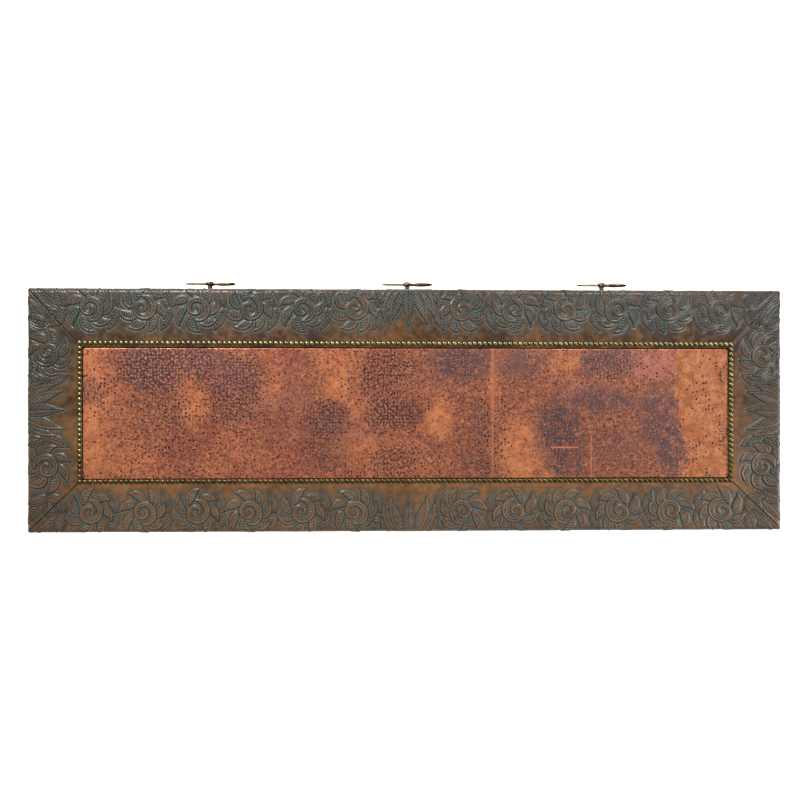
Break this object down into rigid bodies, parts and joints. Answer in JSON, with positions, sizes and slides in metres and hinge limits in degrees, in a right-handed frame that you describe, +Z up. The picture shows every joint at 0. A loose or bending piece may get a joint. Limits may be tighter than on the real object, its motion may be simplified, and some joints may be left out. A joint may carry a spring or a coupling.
{
  "type": "console table",
  "caption": "Console table with a leather-clad, nail-trimmed top round a copper panel, four tapered legs and a row of drawers with bar pulls.",
  "frame": {"origin": "on the floor, midway between the four feet", "axes": "+Z up, +X to the right of someone facing the table, drawers open towards -Y"},
  "size_m": [1.676, 0.582, 0.8672],
  "materials": {
    "tooled_leather": "tooled in relief, brown with a blue-green wash in the hollows, satin",
    "copper": "flame-coloured copper sheet with dark spots, satin lacquer",
    "antique_brass": "antique brass, darkened in the hollows",
    "stained_wood": "dark brown stain, satin, rubbed at the corners",
    "drawer_wood": "clear lacquer",
    "inner_wood": "bare",
    "plywood": "bare, sanded",
    "steel_screw": "zinc plated",
    "nylon": "black nylon"
  },
  "bodies": {
    "frame": {"apron_back": "stained_wood", "apron_left": "stained_wood", "apron_right": "stained_wood", "copper_core": "plywood", "copper_panel": "copper", "dividers": "stained_wood", "frame_rail_back": "inner_wood", "frame_rail_front": "inner_wood", "frame_rail_left": "inner_wood", "frame_rail_right": "inner_wood", "glides": "nylon", "kickers": "inner_wood", "leather_back": "tooled_leather", "leather_front": "tooled_leather", "leather_left": "tooled_leather", "leather_right": "tooled_leather", "leg_back_left": "stained_wood", "leg_back_right": "stained_wood", "leg_front_left": "stained_wood", "leg_front_right": "stained_wood", "lower_rail": "stained_wood", "runner_middle_left": "inner_wood", "runner_middle_right": "inner_wood", "runner_outer_left": "inner_wood", "runner_outer_right": "inner_wood", "stop_blocks": "inner_wood", "top_board": "plywood", "top_nails": "antique_brass", "top_screws": "steel_screw", "upper_rail": "stained_wood"},
    "drawer_left": {"drawer_left_back": "drawer_wood", "drawer_left_bottom": "plywood", "drawer_left_front": "drawer_wood", "drawer_left_leather": "tooled_leather", "drawer_left_nails": "antique_brass", "drawer_left_pull": "antique_brass", "drawer_left_screws": "steel_screw", "drawer_left_side_left": "drawer_wood", "drawer_left_side_right": "drawer_wood"},
    "turn_button_left": {"drawer_left_turn_button": "drawer_wood"},
    "drawer_middle": {"drawer_middle_back": "drawer_wood", "drawer_middle_bottom": "plywood", "drawer_middle_front": "drawer_wood", "drawer_middle_leather": "tooled_leather", "drawer_middle_nails": "antique_brass", "drawer_middle_pull": "antique_brass", "drawer_middle_screws": "steel_screw", "drawer_middle_side_left": "drawer_wood", "drawer_middle_side_right": "drawer_wood"},
    "turn_button_middle": {"drawer_middle_turn_button": "drawer_wood"},
    "drawer_right": {"drawer_right_back": "drawer_wood", "drawer_right_bottom": "plywood", "drawer_right_front": "drawer_wood", "drawer_right_leather": "tooled_leather", "drawer_right_nails": "antique_brass", "drawer_right_pull": "antique_brass", "drawer_right_screws": "steel_screw", "drawer_right_side_left": "drawer_wood", "drawer_right_side_right": "drawer_wood"},
    "turn_button_right": {"drawer_right_turn_button": "drawer_wood"}
  },
  "joints": [
    {"name": "drawer_left_slide", "type": "slide", "parent": "frame", "child": "drawer_left", "axis": [0, -1, 0], "range_m": [0, 0.3]},
    {"name": "drawer_middle_slide", "type": "slide", "parent": "frame", "child": "drawer_middle", "axis": [0, -1, 0], "range_m": [0, 0.3]},
    {"name": "drawer_right_slide", "type": "slide", "parent": "frame", "child": "drawer_right", "axis": [0, -1, 0], "range_m": [0, 0.3]},
    {"name": "turn_button_left_turn", "type": "hinge", "parent": "drawer_left", "child": "turn_button_left", "pos_m": [-0.47933, 0.1306, 0.762], "axis": [0, 1, 0], "range_deg": [0, 90]},
    {"name": "turn_button_middle_turn", "type": "hinge", "parent": "drawer_middle", "child": "turn_button_middle", "pos_m": [0, 0.1306, 0.762], "axis": [0, 1, 0], "range_deg": [0, 90]},
    {"name": "turn_button_right_turn", "type": "hinge", "parent": "drawer_right", "child": "turn_button_right", "pos_m": [0.47933, 0.1306, 0.762], "axis": [0, 1, 0], "range_deg": [0, 90]}
  ]
}
